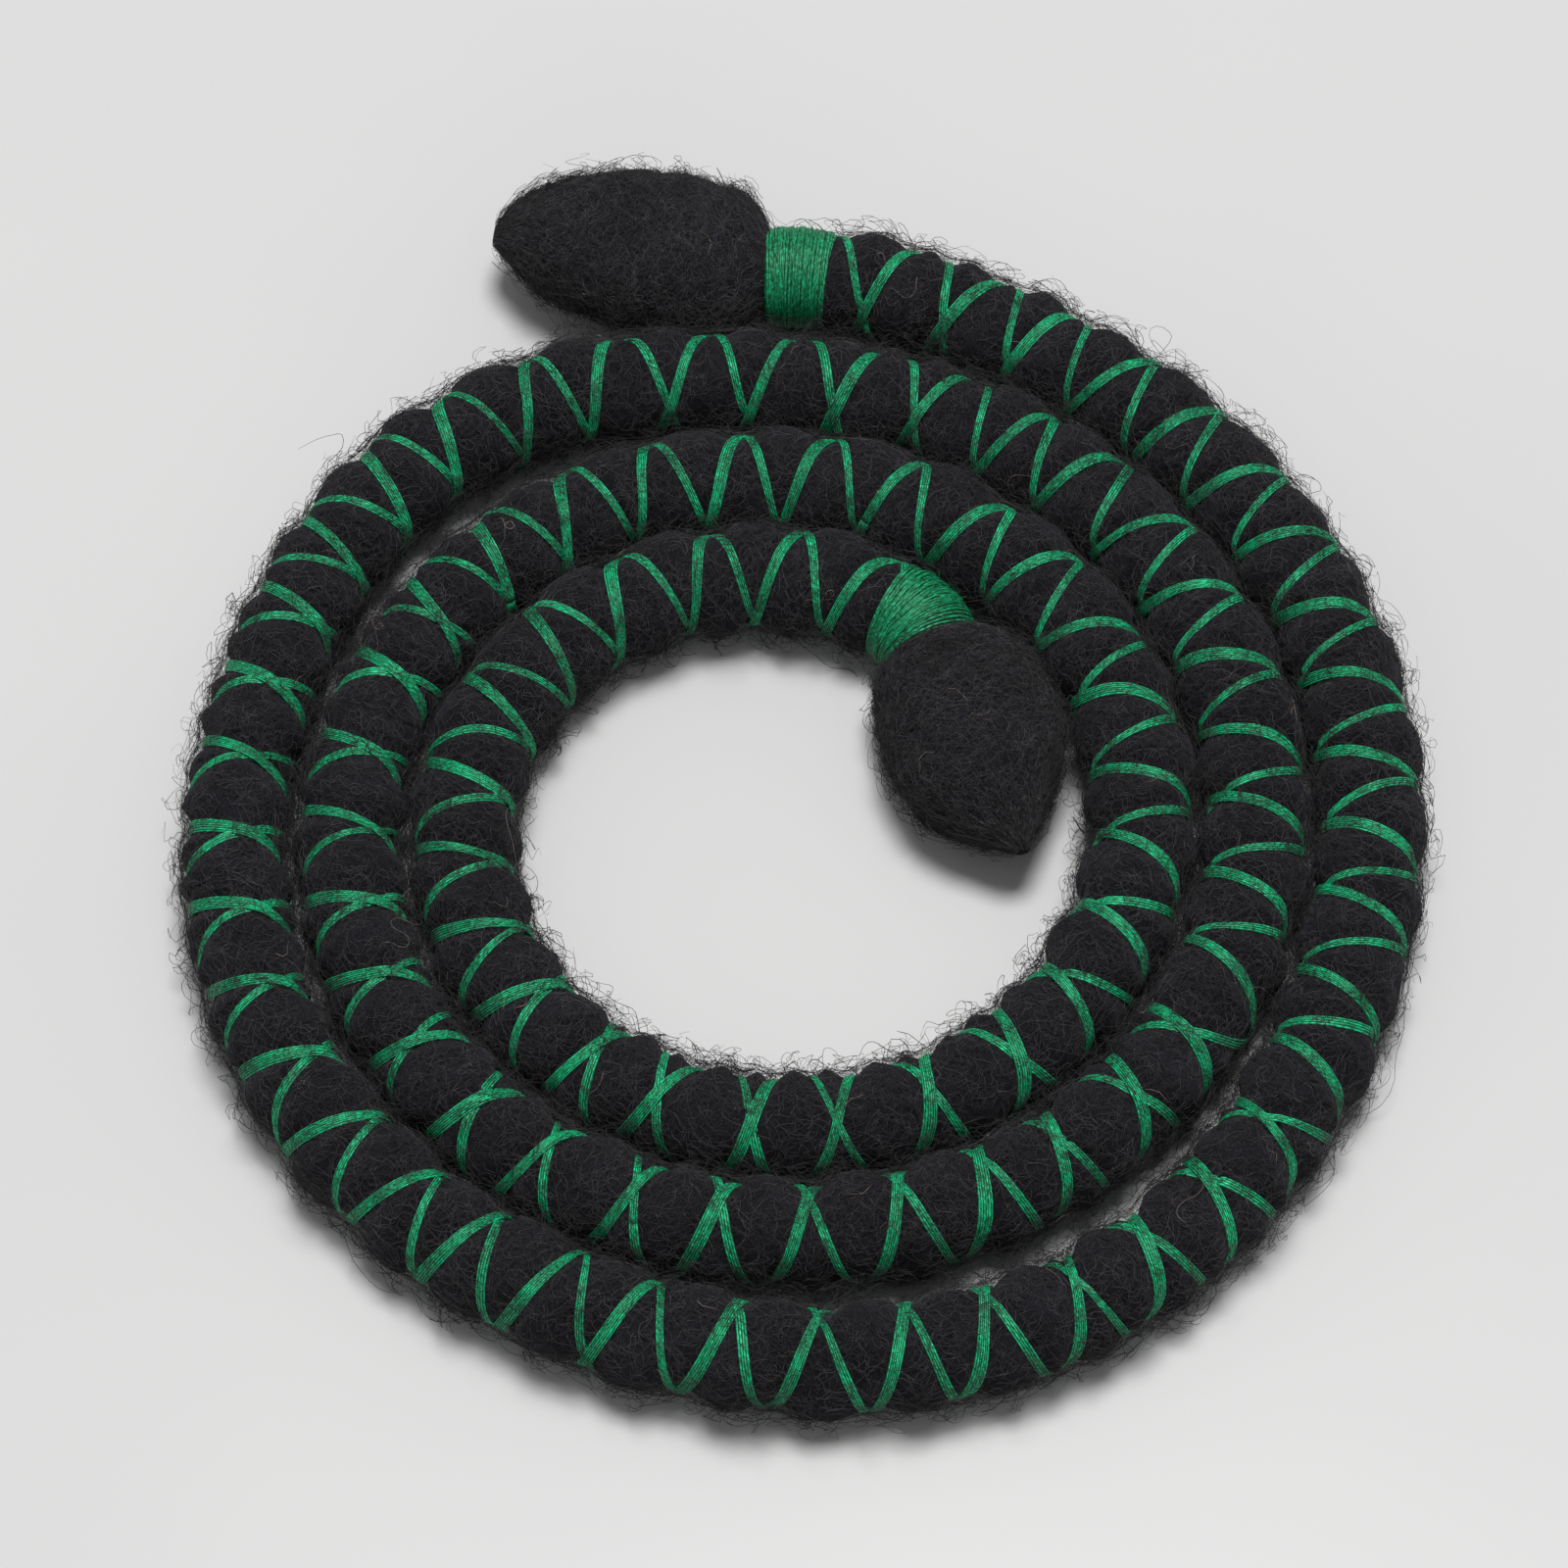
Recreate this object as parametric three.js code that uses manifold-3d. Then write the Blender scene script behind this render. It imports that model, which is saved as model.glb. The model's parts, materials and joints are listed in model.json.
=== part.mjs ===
// Bendable felted-wool hair tie, lying coiled flat: a felt rope on a soft wire core, wrapped in
// stranded cotton floss, whipped at both necks, with a pointed felt bud at each end.
//
// Millimetres, +Z up, the rope resting on z = 0. Seen from above the rope runs clockwise from its
// outer end, at the far side of the coil, to its inner end. The origin is the middle of the base.
// The rope bends anywhere along its length, so it is cut into links, and every link holds its own
// length of felt, wire and floss. Each link is a joint away from the next one.

import * as THREE from 'three';
import { mergeVertices } from 'three/addons/utils/BufferGeometryUtils.js';
import Module from 'manifold-3d';

const manifoldLibrary = await Module();
manifoldLibrary.setup();

// Coil: an Archimedean spiral with three stretches that stand off from the turn inside them
const outerTurnRadius = 67.2;
const turnSpacing = 12.3;
const coilStartDegrees = -1.25;
const coilEndDegrees = 1105;
const looseStretches = [
  { atDegrees: 0, halfWidth: 35, standOff: 2.4 },
  { atDegrees: 155, halfWidth: 55, standOff: 2.9 },
  { atDegrees: 325, halfWidth: 45, standOff: 3.3 },
];
const innerNeckBendDegrees = 44;

// Rope
const ropeCentreHeight = 6;
const linkCount = 18;
const outerLinkWraps = 7;
const innerLinkWraps = 4;
const neckLength = 8.1;

// Felt, an eight-sided section with a flat underside
const feltSides = 8;
const feltHalfThickness = 4.75;
const neckHalfThickness = 4;
const endFaceRadius = 1.9;
const linkEndGap = 0.7;
const linkTaperEnd = 2.3;
const boreRadius = 1.2;
const landLength = 5;
const landWidth = 4;
const landDepthInFelt = 0.5;

// Floss, a ridged strand wound over the felt
const flossGap = 0.5;
const flossWidth = 1.8;
const flossHeight = 0.7;
const flossMarginSteps = 2;

// Whippings
const whippingSides = 16;
const whippingInner = 4.9;
const whippingOuter = 5.85;
const whippingChamfer = 0.5;
const whippingStart = 1.2;
const whippingEndGap = 0.4;

// Wire
const wireRadius = 0.6;
const wireSides = 6;
const wireEndGap = 0.3;
const hookReach = 11;
const hookBendRadius = 1.6;
const hookReturn = 3;

// Buds
const outerBudLength = 30.5;
const innerBudLength = 27;
const budHalfWidth = 9.8;
const budHalfHeight = 7.5;
const budSides = 16;
const budPitchUpDegrees = 4;
const outerBudTurnDegrees = 4;
const innerBudTurnDegrees = 2;
const budHollowRadius = 3.2;
const budHollowEnd = 15;
const budHollowStart = 6;
const budBoreRadius = 1.5;

const bendStepDegrees = 9;

const felt = new THREE.MeshStandardMaterial({ color: 0x1b1a20, roughness: 0.95, metalness: 0 });
const floss = new THREE.MeshStandardMaterial({ color: 0x149355, roughness: 0.5, metalness: 0 });
const wire = new THREE.MeshStandardMaterial({ color: 0xa9adb2, roughness: 0.35, metalness: 1 });

// Distance that the rope stands off from its spiral at one angle round the coil
function standOffAt(degrees) {
  let total = 0;
  for (const { atDegrees, halfWidth, standOff } of looseStretches) {
    const share = Math.min(1, Math.abs(degrees - atDegrees) / halfWidth);
    total += standOff * Math.cos(share * Math.PI / 2) ** 2;
  }
  return total;
}

// Point on the rope's centreline at an angle counted clockwise from the far side
function spiralPoint(degrees) {
  const radius = outerTurnRadius - turnSpacing * degrees / 360 + standOffAt(degrees);
  const angle = THREE.MathUtils.degToRad(degrees);
  return new THREE.Vector3(radius * Math.sin(angle), radius * Math.cos(angle), ropeCentreHeight);
}

// The spiral, then a tight bend to the right under the inner whipping
function ropeCurve() {
  const points = [];
  const steps = 360;
  for (let i = 0; i <= steps; i++) {
    const share = i / steps;
    points.push(spiralPoint(THREE.MathUtils.lerp(coilStartDegrees, coilEndDegrees, share)));
  }
  const last = points[steps];
  const tangent = last.clone().sub(points[steps - 1]).normalize();
  const bend = THREE.MathUtils.degToRad(innerNeckBendDegrees);
  const radius = neckLength / bend;
  const right = new THREE.Vector3(tangent.y, -tangent.x, 0);
  const bendSteps = 4;
  for (let i = 1; i <= bendSteps; i++) {
    const angle = bend * i / bendSteps;
    const point = last.clone();
    point.addScaledVector(tangent, radius * Math.sin(angle));
    point.addScaledVector(right, radius * (1 - Math.cos(angle)));
    points.push(point);
  }
  const curve = new THREE.CatmullRomCurve3(points);
  curve.arcLengthDivisions = 4000;
  return curve;
}

const curve = ropeCurve();
const ropeLength = curve.getLength();

// Position and directions on the rope, a distance along it from the outer end
export function ropeFrame(distance) {
  const share = THREE.MathUtils.clamp(distance / ropeLength, 0, 1);
  const tangent = curve.getTangentAt(share);
  const outward = new THREE.Vector3(-tangent.y, tangent.x, 0);
  return { position: curve.getPointAt(share), tangent, outward };
}

// Links: whole turns of floss each, more of them on the outer links, where the coil is widest
function linkWraps(index) {
  const share = index / (linkCount - 1);
  return Math.round(outerLinkWraps + (innerLinkWraps - outerLinkWraps) * share);
}

function makeLinks() {
  let wraps = 0;
  for (let i = 0; i < linkCount; i++) {
    wraps += linkWraps(i);
  }
  const pitch = (ropeLength - 2 * neckLength) / wraps;
  const list = [];
  let position = neckLength;
  for (let i = 0; i < linkCount; i++) {
    const flossStart = position;
    const flossEnd = position + pitch * linkWraps(i);
    list.push({
      name: String(i + 1).padStart(2, '0'),
      start: i === 0 ? 0 : flossStart,
      end: i === linkCount - 1 ? ropeLength : flossEnd,
      flossStart,
      flossEnd,
      wraps: linkWraps(i),
    });
    position = flossEnd;
  }
  return { list, pitch };
}

export const { list: links, pitch: flossPitch } = makeLinks();

// Moves every vertex of a geometry through one function
function mapVertices(geometry, move) {
  const positions = geometry.getAttribute('position');
  const point = new THREE.Vector3();
  for (let i = 0; i < positions.count; i++) {
    point.fromBufferAttribute(positions, i);
    move(point);
    positions.setXYZ(i, point.x, point.y, point.z);
  }
  return geometry;
}

// Keeps only welded positions, so that every shape is one closed surface
function weld(geometry) {
  geometry.deleteAttribute('normal');
  geometry.deleteAttribute('uv');
  return mergeVertices(geometry, 1e-4);
}

// Bends a straight shape onto the rope: x is outward, y is up and z is the distance along it
function bendAlongRope(geometry) {
  return mapVertices(geometry, (point) => {
    const { position, tangent, outward } = ropeFrame(point.z);
    const height = position.z + point.y;
    const past = point.z - THREE.MathUtils.clamp(point.z, 0, ropeLength);
    point.set(
      position.x + outward.x * point.x + tangent.x * past,
      position.y + outward.y * point.x + tangent.y * past,
      height,
    );
  });
}

// Turns a closed outline of [radius, distance] pairs about the z axis, with a flat underside
function latheAlongZ(outline, sides) {
  const points = outline.map(([radius, distance]) => new THREE.Vector2(radius, distance));
  const geometry = new THREE.LatheGeometry(points, sides, Math.PI / sides);
  geometry.rotateX(Math.PI / 2);
  return geometry;
}

// Corner radius of a regular section from half its thickness across the flats
function cornerRadius(halfThickness, sides) {
  return halfThickness / Math.cos(Math.PI / sides);
}

// Number of straight steps that follow the rope's curve between two distances
function bendSteps(from, to) {
  const turned = ropeFrame(from).tangent.angleTo(ropeFrame((from + to) / 2).tangent) * 2;
  return Math.max(1, Math.ceil(THREE.MathUtils.radToDeg(turned) / bendStepDegrees));
}

function divide(from, to, steps) {
  return Array.from({ length: steps + 1 }, (_, i) => from + (to - from) * i / steps);
}

function toManifold(geometry) {
  return new manifoldLibrary.Manifold(new manifoldLibrary.Mesh({
    numProp: 3,
    vertProperties: new Float32Array(geometry.getAttribute('position').array),
    triVerts: new Uint32Array(geometry.getIndex().array),
  }));
}

function fromManifold(solid) {
  const mesh = solid.getMesh();
  const geometry = new THREE.BufferGeometry();
  geometry.setAttribute('position', new THREE.BufferAttribute(mesh.vertProperties, 3));
  geometry.setIndex(new THREE.BufferAttribute(mesh.triVerts, 1));
  return geometry;
}

// Felt sleeve of one link: tapered at both ends so that its joints can bend, and bored for the
// wire. The first and last links narrow to a neck under the whipping.
function feltSleeve(link) {
  const full = cornerRadius(feltHalfThickness, feltSides);
  const neck = cornerRadius(neckHalfThickness, feltSides);
  const atOuterNeck = link.start < link.flossStart;
  const atInnerNeck = link.end > link.flossEnd;
  const from = link.start + linkEndGap;
  const to = link.end - linkEndGap;
  const bodyFrom = atOuterNeck ? link.flossStart : link.start + linkTaperEnd;
  const bodyTo = atInnerNeck ? link.flossEnd : link.end - linkTaperEnd;
  const outline = [[endFaceRadius, from]];
  if (atOuterNeck) {
    outline.push([neck, link.start + linkTaperEnd], [neck, link.flossStart - whippingEndGap]);
  }
  for (const distance of divide(bodyFrom, bodyTo, bendSteps(bodyFrom, bodyTo))) {
    outline.push([full, distance]);
  }
  if (atInnerNeck) {
    for (const distance of divide(link.flossEnd + whippingEndGap, link.end - linkTaperEnd, 2)) {
      outline.push([neck, distance]);
    }
  }
  outline.push([endFaceRadius, to]);
  for (const distance of divide(to, from, bendSteps(from, to))) {
    outline.push([boreRadius, distance]);
  }
  outline.push(outline[0]);
  const sleeve = weld(bendAlongRope(latheAlongZ(outline, feltSides)));
  return fromManifold(feltLands(link).reduce((solid, land) => solid.add(land), toManifold(sleeve)));
}

// Where the felt swells down between two passes of floss and carries the rope's weight
export function landDistances(link) {
  const passAtUnderside = 0.1875;
  const landAfterPass = passAtUnderside + 0.5;
  return [0, link.wraps - 2].map((wrap) => link.flossStart + (wrap + landAfterPass) * flossPitch);
}

function feltLands(link) {
  const height = ropeCentreHeight - feltHalfThickness + landDepthInFelt;
  return landDistances(link).map((distance) => {
    const { position, tangent } = ropeFrame(distance);
    const box = new THREE.BoxGeometry(landLength, landWidth, height);
    box.rotateZ(Math.atan2(tangent.y, tangent.x));
    box.translate(position.x, position.y, height / 2);
    return toManifold(weld(box));
  });
}

// Soft wire inside one link
function wireCore(link) {
  const from = link.start + wireEndGap;
  const to = link.end - wireEndGap;
  const steps = bendSteps(from, to);
  const rod = new THREE.CylinderGeometry(wireRadius, wireRadius, to - from, wireSides, steps);
  rod.rotateX(Math.PI / 2);
  rod.translate(0, 0, (from + to) / 2);
  return weld(bendAlongRope(rod));
}

// Floss wound round one link: a ridged strip, straight at first, wound up and then bent. Along the
// rope it crosses the top towards the outside of the coil. Its steps fall on the corners of the
// felt, so it keeps its gap to every flat.
function flossWrap(link) {
  const inner = cornerRadius(feltHalfThickness + flossGap, feltSides);
  const section = new THREE.Shape([
    new THREE.Vector2(-flossWidth / 2, inner),
    new THREE.Vector2(flossWidth / 2, inner),
    new THREE.Vector2(0, cornerRadius(feltHalfThickness + flossGap + flossHeight, feltSides)),
  ]);
  const stepLength = flossPitch / feltSides;
  const steps = link.wraps * feltSides - 2 * flossMarginSteps;
  const strip = new THREE.ExtrudeGeometry(section, {
    depth: steps * stepLength,
    steps,
    bevelEnabled: false,
  });
  mapVertices(strip, (point) => {
    const along = point.z + flossMarginSteps * stepLength;
    const angle = -Math.PI / feltSides - 2 * Math.PI * along / flossPitch;
    const radius = point.y;
    const distance = link.flossStart + along - point.x;
    point.set(radius * Math.cos(angle), radius * Math.sin(angle), distance);
  });
  return weld(bendAlongRope(strip));
}

// Whipping: many turns of floss side by side, as one ring with chamfered edges
function whipping(from, to) {
  const inner = cornerRadius(whippingInner, whippingSides);
  const outer = cornerRadius(whippingOuter, whippingSides);
  const outline = [
    [inner, from],
    [outer - whippingChamfer, from],
    [outer, from + whippingChamfer],
    [outer, (from + to) / 2],
    [outer, to - whippingChamfer],
    [outer - whippingChamfer, to],
    [inner, to],
    [inner, (from + to) / 2],
    [inner, from],
  ];
  return weld(bendAlongRope(latheAlongZ(outline, whippingSides)));
}

// Places a shape modelled along +z with its x to the side at one end of the rope, pointing away
function placeAtEnd(geometry, distance, direction, turnDegrees) {
  const { position } = ropeFrame(distance);
  const turned = direction.clone().applyAxisAngle(
    new THREE.Vector3(0, 0, 1),
    THREE.MathUtils.degToRad(turnDegrees),
  );
  const side = new THREE.Vector3(-turned.y, turned.x, 0);
  const pitch = THREE.MathUtils.degToRad(budPitchUpDegrees);
  const forward = turned.clone().multiplyScalar(Math.cos(pitch));
  forward.z = Math.sin(pitch);
  const up = forward.clone().cross(side);
  const placement = new THREE.Matrix4().makeBasis(side, up, forward).setPosition(position);
  return geometry.applyMatrix4(placement);
}

// Felt bud: blunt at the neck, widest a third of the way along, pointed at the tip, with a hollow
// for the wire's hook, and flattened where it lies on the table
function feltBud(length, distance, direction, turnDegrees) {
  const outline = [
    [0, budHollowEnd],
    [budHollowRadius, budHollowEnd],
    [budHollowRadius, budHollowStart],
    [budBoreRadius, budHollowStart - 1],
    [budBoreRadius, linkEndGap],
    [2.2, linkEndGap],
    [6.4, 3],
    [8.6, 6],
    [budHalfWidth, 0.35 * length],
    [9.3, 0.5 * length],
    [7.6, 0.66 * length],
    [4.6, 0.84 * length],
    [1.6, length - 1],
    [0, length],
  ];
  const bud = latheAlongZ(outline, budSides);
  bud.scale(1, budHalfHeight / budHalfWidth, 1);
  const placed = toManifold(weld(placeAtEnd(bud, distance, direction, turnDegrees)));
  const tableSize = 400;
  const table = new THREE.BoxGeometry(tableSize, tableSize, tableSize);
  table.translate(0, 0, -tableSize / 2);
  return fromManifold(placed.subtract(toManifold(weld(table))));
}

// End of the wire, bent back on itself inside the bud so that it can't work its way out
function wireHook(distance, direction, turnDegrees) {
  const points = [
    new THREE.Vector3(0, 0, wireEndGap),
    new THREE.Vector3(0, 0, budHollowStart / 2),
    new THREE.Vector3(0, 0, budHollowStart),
  ];
  const bendStepCount = 6;
  for (let i = 0; i <= bendStepCount; i++) {
    const angle = Math.PI * i / bendStepCount;
    const across = -hookBendRadius * Math.cos(angle);
    points.push(new THREE.Vector3(across, 0, hookReach + hookBendRadius * Math.sin(angle)));
  }
  points.push(new THREE.Vector3(hookBendRadius, 0, hookReach - hookReturn));
  const ring = Array.from({ length: wireSides }, (_, i) => {
    const angle = 2 * Math.PI * i / wireSides;
    return new THREE.Vector2(wireRadius * Math.cos(angle), wireRadius * Math.sin(angle));
  });
  const hook = new THREE.ExtrudeGeometry(new THREE.Shape(ring), {
    steps: 18,
    bevelEnabled: false,
    extrudePath: new THREE.CatmullRomCurve3(points),
  });
  return weld(placeAtEnd(hook, distance, direction, turnDegrees));
}

const model = new THREE.Group();

function addPiece(name, geometry, material) {
  const mesh = new THREE.Mesh(geometry, material);
  mesh.name = name;
  model.add(mesh);
}

for (const link of links) {
  addPiece(`felt_rope_${link.name}`, feltSleeve(link), felt);
  addPiece(`wire_core_${link.name}`, wireCore(link), wire);
  addPiece(`floss_wrap_${link.name}`, flossWrap(link), floss);
}

const outerDirection = ropeFrame(0).tangent.negate();
const innerDirection = ropeFrame(ropeLength).tangent;
addPiece('whipping_outer', whipping(whippingStart, neckLength - whippingEndGap), floss);
addPiece(
  'whipping_inner',
  whipping(ropeLength - neckLength + whippingEndGap, ropeLength - whippingStart),
  floss,
);
addPiece('bud_outer', feltBud(outerBudLength, 0, outerDirection, -outerBudTurnDegrees), felt);
addPiece('bud_inner', feltBud(innerBudLength, ropeLength, innerDirection, -innerBudTurnDegrees), felt);
addPiece('wire_hook_outer', wireHook(0, outerDirection, -outerBudTurnDegrees), wire);
addPiece('wire_hook_inner', wireHook(ropeLength, innerDirection, -innerBudTurnDegrees), wire);

const bounds = new THREE.Box3().setFromObject(model);
const baseCentre = bounds.getCenter(new THREE.Vector3());
model.position.set(-baseCentre.x, -baseCentre.y, 0);

export default model;
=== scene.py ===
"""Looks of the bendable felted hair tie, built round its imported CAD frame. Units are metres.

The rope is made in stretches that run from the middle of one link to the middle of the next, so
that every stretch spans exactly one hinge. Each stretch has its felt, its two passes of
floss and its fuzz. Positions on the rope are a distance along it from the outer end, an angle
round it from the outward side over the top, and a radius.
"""
import json
import math

import bpy
import numpy as np
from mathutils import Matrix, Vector


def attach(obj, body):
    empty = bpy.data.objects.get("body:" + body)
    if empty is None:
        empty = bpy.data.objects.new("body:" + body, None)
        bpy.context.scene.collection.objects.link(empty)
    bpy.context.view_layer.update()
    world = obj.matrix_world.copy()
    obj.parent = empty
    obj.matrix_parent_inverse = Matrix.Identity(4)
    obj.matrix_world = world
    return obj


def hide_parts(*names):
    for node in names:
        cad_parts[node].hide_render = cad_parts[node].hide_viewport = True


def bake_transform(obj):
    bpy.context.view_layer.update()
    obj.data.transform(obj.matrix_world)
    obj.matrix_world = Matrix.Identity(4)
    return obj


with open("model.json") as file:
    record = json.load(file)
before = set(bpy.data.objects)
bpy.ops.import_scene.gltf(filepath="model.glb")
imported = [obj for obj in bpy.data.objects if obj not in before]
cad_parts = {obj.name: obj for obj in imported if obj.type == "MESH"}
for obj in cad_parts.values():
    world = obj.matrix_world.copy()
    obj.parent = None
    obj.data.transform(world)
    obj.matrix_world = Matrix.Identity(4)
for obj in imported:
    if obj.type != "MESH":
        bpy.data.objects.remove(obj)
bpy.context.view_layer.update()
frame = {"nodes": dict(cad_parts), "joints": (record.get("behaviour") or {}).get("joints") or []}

MM = 0.001
PI = math.pi

# Coil and rope, as in the CAD
OUTER_TURN_RADIUS = 67.2 * MM
TURN_SPACING = 12.3 * MM
COIL_DEGREES = (-1.25, 1105)
LOOSE_STRETCHES = [(0, 35, 2.4 * MM), (155, 55, 2.9 * MM), (325, 45, 3.3 * MM)]
INNER_NECK_BEND = math.radians(44)
NECK_LENGTH = 8.1 * MM
ROPE_HEIGHT = 6 * MM
LINK_COUNT = 18
OUTER_LINK_WRAPS, INNER_LINK_WRAPS = 7, 4
BUD_TILT = math.radians(4)
OUTER_BUD_TURN, INNER_BUD_TURN = math.radians(7.5), math.radians(-2.5)

# Camera
VIEW_ELEVATION = math.radians(61.5)
VIEW_DISTANCE = 0.75
VIEW_LENS = 158
VIEW_TARGET_FROM_COIL_CENTRE = (1.0 * MM, 7.9 * MM)

# Felt
SWELL_RADIUS = 6.1 * MM
NECK_RADIUS = 4.7 * MM
TABLE_GAP = 0.05 * MM
ROW_STEP = 0.42 * MM
COLUMNS = 64
CUT_MARGIN = 4.5 * MM

# Floss: a thin pass and a wide one, wound opposite ways. The wide one lies on top where they cross.
WIDE = {"width": 1.34 * MM, "height": 0.40 * MM, "strands": 6, "cinch": 1.40 * MM, "reach": 3.6 * MM}
THIN = {"width": 0.98 * MM, "height": 0.36 * MM, "strands": 4, "cinch": 1.10 * MM, "reach": 3.2 * MM}
BAND_SINK = 0.06 * MM
FLOSS_START_ANGLE = PI / 8
FLOSS_STEPS_PER_TURN = 44
POINTS_PER_STRAND = 5

# Where the two passes cross: degrees round the coil, and how far from the side facing the camera.
# At 0 they cross on top in an X, and at 90 they cross at the edges and leave a zigzag between.
CROSSING_LEAN = [
    (0, 60), (14, 20), (30, 80), (118, 88), (126, 42), (150, 38), (162, 55), (172, 88), (232, 88),
    (242, 32), (290, 5), (300, 60), (350, 70), (366, 22), (380, 22), (392, 80), (472, 80), (482, 10),
    (500, 12), (508, 60), (534, 58), (542, 42), (566, 40), (582, 10), (602, 12), (612, 55), (634, 14),
    (664, 12), (674, 52), (712, 78), (805, 78), (822, 50), (850, 48), (862, 6), (924, 8), (936, 58),
    (990, 62), (1002, 80), (1102, 74),
]


# ---------------------------------------------------------------- rope centreline

def stand_off(degrees):
    """How far the rope stands off from its spiral at an angle round the coil."""
    total = np.zeros_like(degrees)
    for at, half_width, out in LOOSE_STRETCHES:
        share = np.clip(np.abs(degrees - at) / half_width, 0, 1)
        total += out * np.cos(share * PI / 2) ** 2
    return total


def make_centreline():
    """Distances, points, tangents and coil degrees of the spiral and the tight bend at its end."""
    degrees = np.linspace(*COIL_DEGREES, 8001)
    angle = np.radians(degrees)
    radius = OUTER_TURN_RADIUS - TURN_SPACING * degrees / 360 + stand_off(degrees)
    spiral = np.c_[radius * np.sin(angle), radius * np.cos(angle)]
    last = spiral[-1] - spiral[-2]
    last /= np.linalg.norm(last)
    right = np.array([last[1], -last[0]])
    bend = np.linspace(0, INNER_NECK_BEND, 101)[1:, None]
    bend_radius = NECK_LENGTH / INNER_NECK_BEND
    tail = spiral[-1] + bend_radius * (np.sin(bend) * last + (1 - np.cos(bend)) * right)
    points = np.vstack([spiral, tail])
    steps = np.linalg.norm(np.diff(points, axis=0), axis=1)
    distance = np.r_[0, np.cumsum(steps)]
    tangent = np.gradient(points, distance, axis=0)
    tangent /= np.linalg.norm(tangent, axis=1)[:, None]
    return distance, points, tangent, np.r_[degrees, np.full(len(tail), COIL_DEGREES[1])]


joints = {j["name"]: j for j in frame["joints"]}
LINE_S, LINE_P, LINE_T, LINE_DEGREES = make_centreline()
ROPE_LENGTH = LINE_S[-1]
COIL_CENTRE = np.array(joints["outer_bud_lift"]["pos_m"][:2]) - LINE_P[0]
LINE_P = LINE_P + COIL_CENTRE


def rope_frame(s):
    """Points, tangents and outward directions at distances along the rope, straight past its ends."""
    s = np.asarray(s, float)
    inside = np.clip(s, 0, ROPE_LENGTH)
    point = np.stack([np.interp(inside, LINE_S, LINE_P[:, i]) for i in (0, 1)], -1)
    tangent = np.stack([np.interp(inside, LINE_S, LINE_T[:, i]) for i in (0, 1)], -1)
    tangent /= np.linalg.norm(tangent, axis=-1, keepdims=True)
    point = point + tangent * (s - inside)[..., None]
    outward = np.stack([-tangent[..., 1], tangent[..., 0]], -1)
    return point, tangent, outward


def on_rope(s, angle, radius):
    """Points at an angle and a radius round the rope, kept just above the table."""
    point, _, outward = rope_frame(s)
    across = (radius * np.cos(angle))[..., None]
    height = np.maximum(ROPE_HEIGHT + radius * np.sin(angle), TABLE_GAP)
    return np.concatenate([point + outward * across, height[..., None]], -1)


# ---------------------------------------------------------------- links and stretches

def link_wraps(index):
    share = index / (LINK_COUNT - 1)
    return round(OUTER_LINK_WRAPS + (INNER_LINK_WRAPS - OUTER_LINK_WRAPS) * share)


WRAPS = [link_wraps(i) for i in range(LINK_COUNT)]
PITCH = (ROPE_LENGTH - 2 * NECK_LENGTH) / sum(WRAPS)
JOINT_S = [NECK_LENGTH + PITCH * sum(WRAPS[:i]) for i in range(LINK_COUNT + 1)]
JOINT_S[0], JOINT_S[-1] = 0, ROPE_LENGTH
MIDDLE_S = [(a + b) / 2 for a, b in zip(JOINT_S, JOINT_S[1:])]
BODIES = [f"link_{i + 1:02d}" for i in range(LINK_COUNT)]


def attach_stretch(piece, index):
    """Rides an end stretch on its link; a stretch between two links is left at rest, on neither link."""
    if index == 0:
        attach(piece, BODIES[0])
    elif index == LINK_COUNT:
        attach(piece, BODIES[-1])
    else:
        ends = [MIDDLE_S[index - 1] + CUT_MARGIN, MIDDLE_S[index] - CUT_MARGIN]
        start, end = on_rope(np.array(ends), np.zeros(2), np.zeros(2))
        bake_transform(piece)


# ---------------------------------------------------------------- irregularities

def make_waves(seed, count, shortest, longest, amplitude, most_round):
    """Random waves along and round the rope, which together make a smooth uneven surface."""
    draw = np.random.default_rng(seed)
    along = 2 * PI / np.exp(draw.uniform(math.log(shortest), math.log(longest), count))
    around = draw.integers(-most_round, most_round + 1, count)
    phase = draw.uniform(0, 2 * PI, count)
    return along, around, phase, amplitude * math.sqrt(2 / count)


def wave_height(waves, s, angle=0.0):
    total = np.zeros(np.broadcast(s, angle).shape)
    along, around, phase, amplitude = waves
    for k, n, p in zip(along, around, phase):
        total += amplitude * np.cos(k * s + n * angle + p)
    return total


LUMPS = make_waves(1, 22, 6 * MM, 30 * MM, 0.14 * MM, 3)
MATTING = make_waves(2, 60, 1.3 * MM, 4 * MM, 0.045 * MM, 18)
WIDE_WANDER = make_waves(3, 8, 14 * MM, 60 * MM, 0.030, 0)
THIN_WANDER = make_waves(4, 8, 14 * MM, 60 * MM, 0.040, 0)
WIDTH_WANDER = make_waves(5, 8, 5 * MM, 40 * MM, 0.08, 0)


def smooth(values, reach):
    """Values evened out over a number of samples each way."""
    kernel = np.hanning(2 * reach + 3)[1:-1]
    padded = np.pad(values, reach, mode="edge")
    return np.convolve(padded, kernel / kernel.sum(), mode="valid")


# ---------------------------------------------------------------- paths of the floss

def make_crossings():
    """Angle round the rope at which the two passes cross, along the rope."""
    s = np.arange(0, ROPE_LENGTH, 1 * MM)
    lean = np.interp(np.interp(s, LINE_S, LINE_DEGREES), *zip(*CROSSING_LEAN))
    _, _, outward = rope_frame(s)
    facing = np.arctan2(math.sin(VIEW_ELEVATION), -outward[:, 1] * math.cos(VIEW_ELEVATION))
    return s, smooth(facing + np.radians(lean), 7)


CROSSING_S, CROSSING_ANGLE = make_crossings()


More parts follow.
